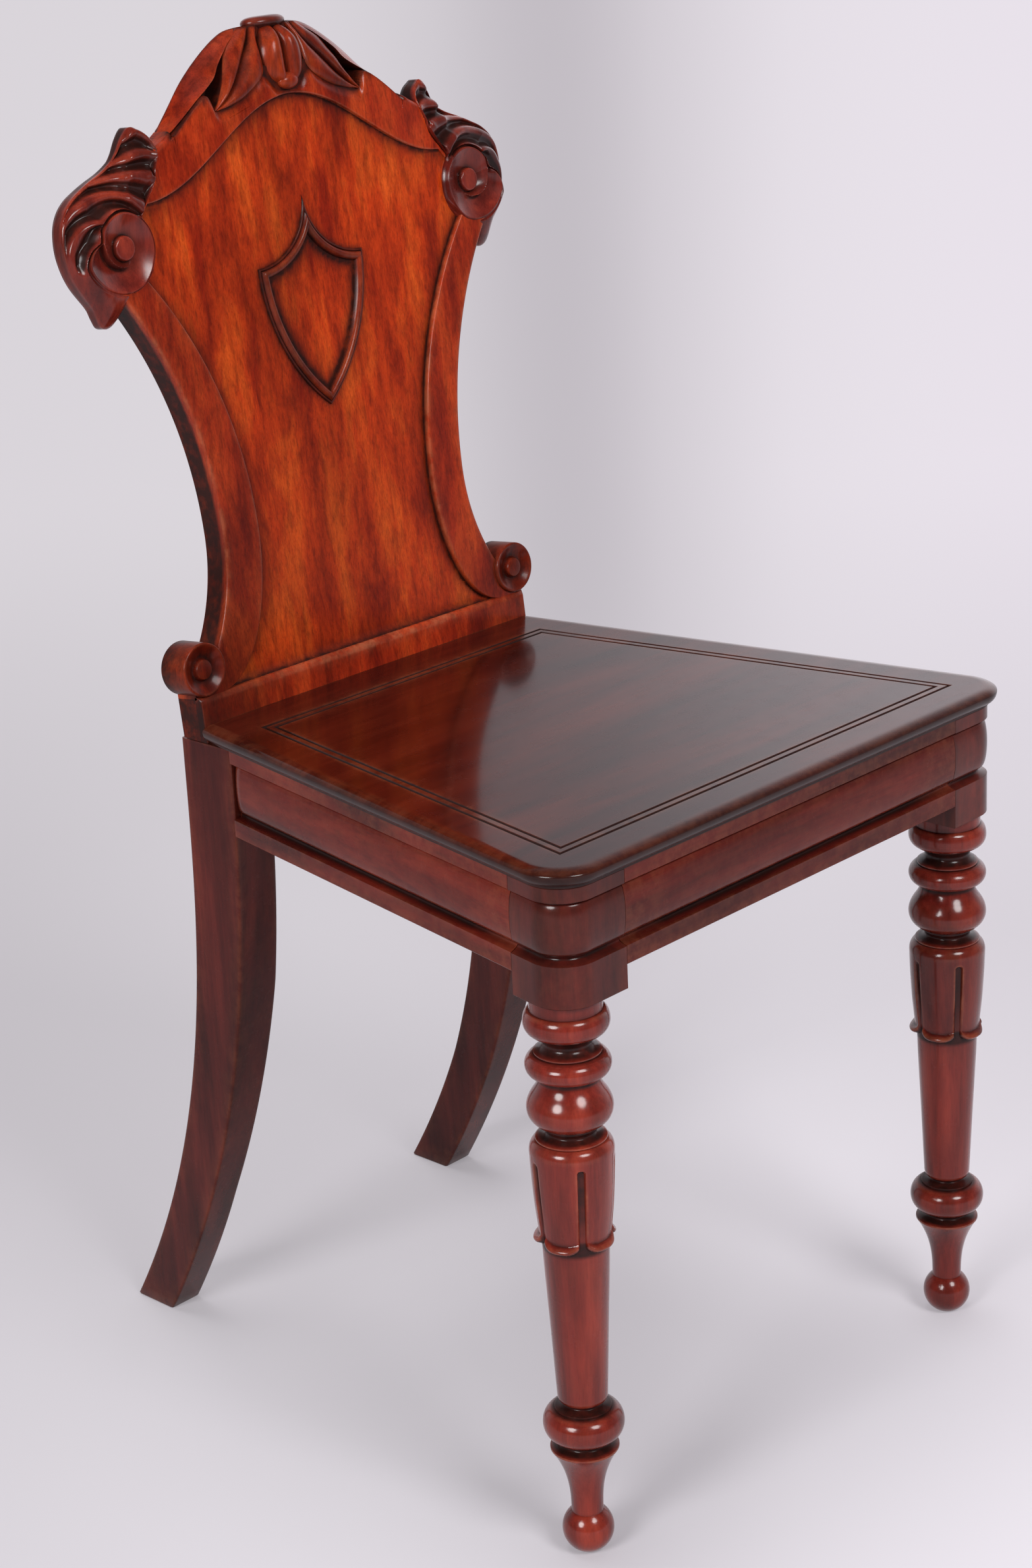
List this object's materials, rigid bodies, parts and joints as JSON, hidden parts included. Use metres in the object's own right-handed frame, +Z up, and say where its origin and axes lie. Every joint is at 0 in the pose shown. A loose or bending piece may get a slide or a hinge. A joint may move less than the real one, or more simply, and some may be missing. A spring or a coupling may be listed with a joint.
{
  "type": "hall chair",
  "caption": "Carved hall chair in polished mahogany with a raked shield-shaped back, solid moulded seat, turned and lappeted front legs and swept rear legs.",
  "frame": {"origin": "on the floor, at the middle of the chair's bounding box seen from above", "axes": "+Z up, the sitter faces -Y, +X to the sitter's left"},
  "size_m": [0.4228, 0.4798, 0.8562],
  "materials": {
    "seat": "glossy French polish",
    "seat_rails": "glossy French polish",
    "front_legs": "glossy French polish",
    "rear_legs": "glossy French polish",
    "back_board": "glossy French polish",
    "back_border": "glossy French polish",
    "carving": "glossy French polish, worn on its arrises",
    "secondary_wood": "unpolished",
    "screws": "dull"
  },
  "bodies": {
    "root": {"seat_top": "seat", "front_rail": "seat_rails", "left_side_rail": "seat_rails", "right_side_rail": "seat_rails", "front_left_leg": "front_legs", "front_right_leg": "front_legs", "rear_left_leg": "rear_legs", "rear_right_leg": "rear_legs", "back_bottom_rail": "back_border", "left_back_stile": "back_border", "right_back_stile": "back_border", "crest_rail": "back_border", "crest_carving": "carving", "crest_cap": "carving", "left_shoulder_scroll": "carving", "right_shoulder_scroll": "carving", "shield_moulding": "back_border", "back_board": "back_board", "back_rail": "secondary_wood", "front_left_corner_block": "secondary_wood", "front_right_corner_block": "secondary_wood", "rear_left_corner_block": "secondary_wood", "rear_right_corner_block": "secondary_wood", "front_left_seat_screw": "screws", "front_right_seat_screw": "screws", "rear_left_seat_screw": "screws", "rear_right_seat_screw": "screws", "left_crest_dowel": "secondary_wood", "right_crest_dowel": "secondary_wood", "left_shoulder_dowel": "secondary_wood", "right_shoulder_dowel": "secondary_wood"}
  },
  "joints": []
}
